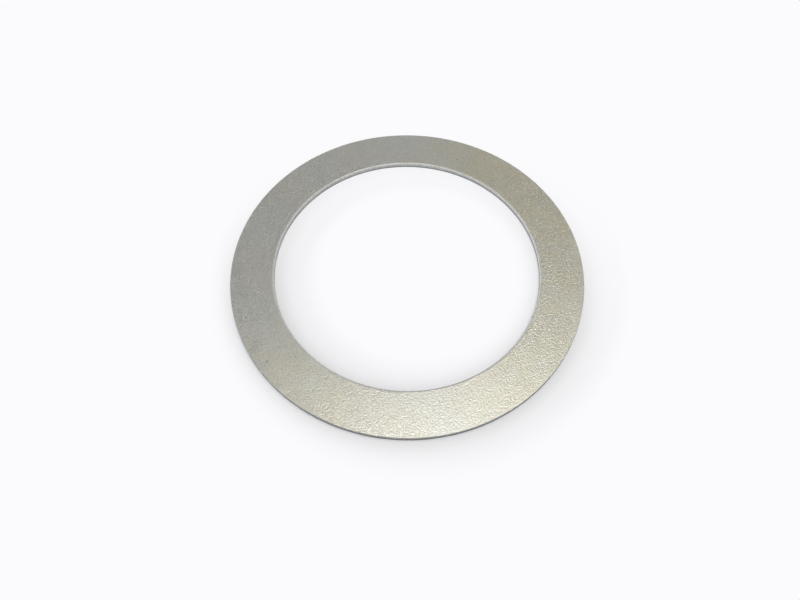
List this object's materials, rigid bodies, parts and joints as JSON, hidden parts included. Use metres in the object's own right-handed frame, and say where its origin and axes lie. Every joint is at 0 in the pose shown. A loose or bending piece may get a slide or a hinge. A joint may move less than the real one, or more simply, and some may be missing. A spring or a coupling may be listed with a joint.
{
  "type": "shim ring",
  "caption": "Thin flat steel ring that slips over a shaft to take up end play or space a bearing in its housing.",
  "frame": {"origin": "on the bore's axis, in the plane of the lower face", "axes": "+Z along the bore's axis, from the lower face to the upper face with the rolled lip of the bore; X and Y lie in the plane of the ring"},
  "size_m": [0.0598, 0.0598, 0.001],
  "materials": {
    "steel": "bare cold-rolled strip, fine-grained satin, punched and tumbled"
  },
  "bodies": {
    "root": {"shim_ring": "steel"}
  },
  "joints": []
}
